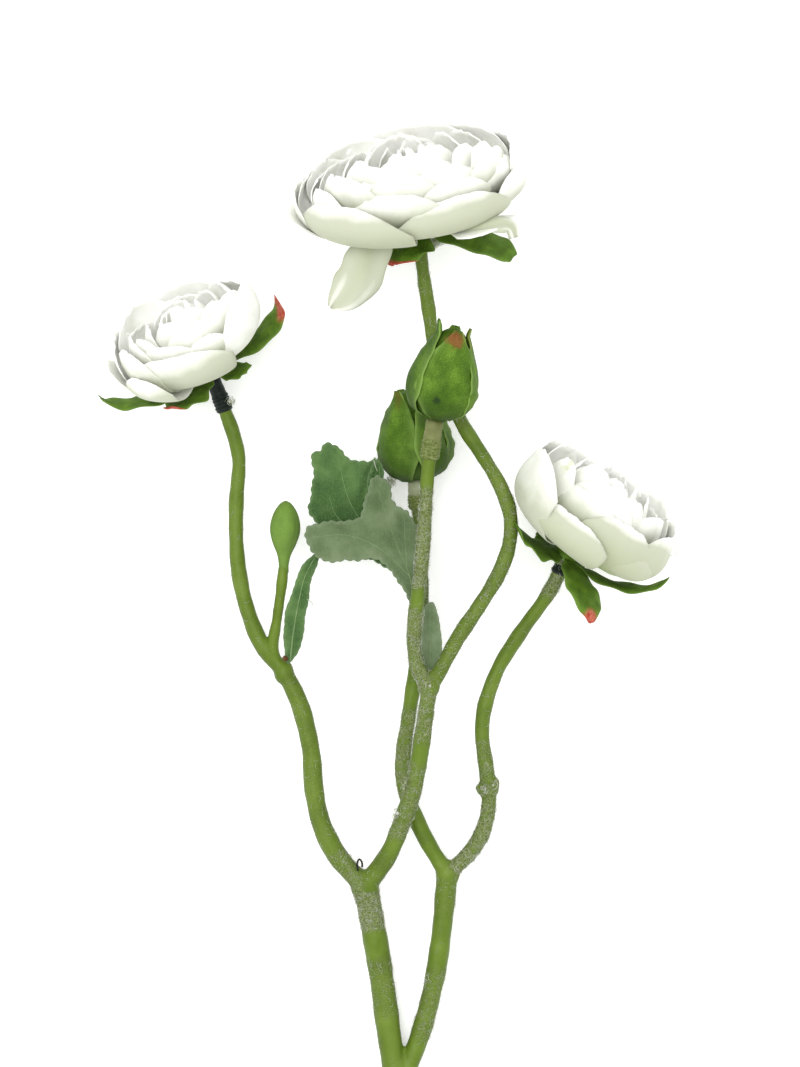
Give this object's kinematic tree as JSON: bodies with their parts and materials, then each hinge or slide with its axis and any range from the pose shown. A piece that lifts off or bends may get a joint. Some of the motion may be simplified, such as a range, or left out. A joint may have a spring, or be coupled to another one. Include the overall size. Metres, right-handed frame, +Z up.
{
  "type": "artificial ranunculus spray",
  "caption": "Artificial ranunculus spray lying down: layered white fabric blooms, green buds and lobed leaves on a forked plastic stem.",
  "frame": {"origin": "centre of the spray's footprint on the surface it lies on", "axes": "+Y from the cut stem end towards the top bloom, +X to the right seen from above, +Z up from the surface"},
  "size_m": [0.1629, 0.3243, 0.0594],
  "materials": {
    "stem_plastic": "yellow-green moulded plastic with pale scuffs and glue fibres",
    "wire_metal": "dark annealed wire",
    "petal_fabric": "soft white woven fabric, cream-green towards the base",
    "sepal_fabric": "mid green fabric with fine ribs and red-pink tips",
    "bud_plastic": "mid green soft plastic with ribs and pink tips",
    "collar_plastic": "very dark green plastic",
    "sleeve_plastic": "pale grey-beige plastic",
    "leaf_fabric": "dark green fabric with light veins, grey-green underside"
  },
  "bodies": {
    "root": {"stem": "stem_plastic", "wire_end": "wire_metal", "top_bloom_petals": "petal_fabric", "top_bloom_calyx": "sepal_fabric", "left_bloom_petals": "petal_fabric", "left_bloom_calyx": "sepal_fabric", "left_bloom_collar": "collar_plastic", "right_bloom_petals": "petal_fabric", "right_bloom_calyx": "sepal_fabric", "right_bloom_collar": "collar_plastic", "front_bud": "bud_plastic", "front_bud_sleeve": "sleeve_plastic", "rear_bud": "bud_plastic", "rear_bud_sleeve": "sleeve_plastic", "small_bud": "bud_plastic", "large_leaf": "leaf_fabric", "small_leaf": "leaf_fabric", "middle_leaf": "leaf_fabric"}
  },
  "joints": []
}
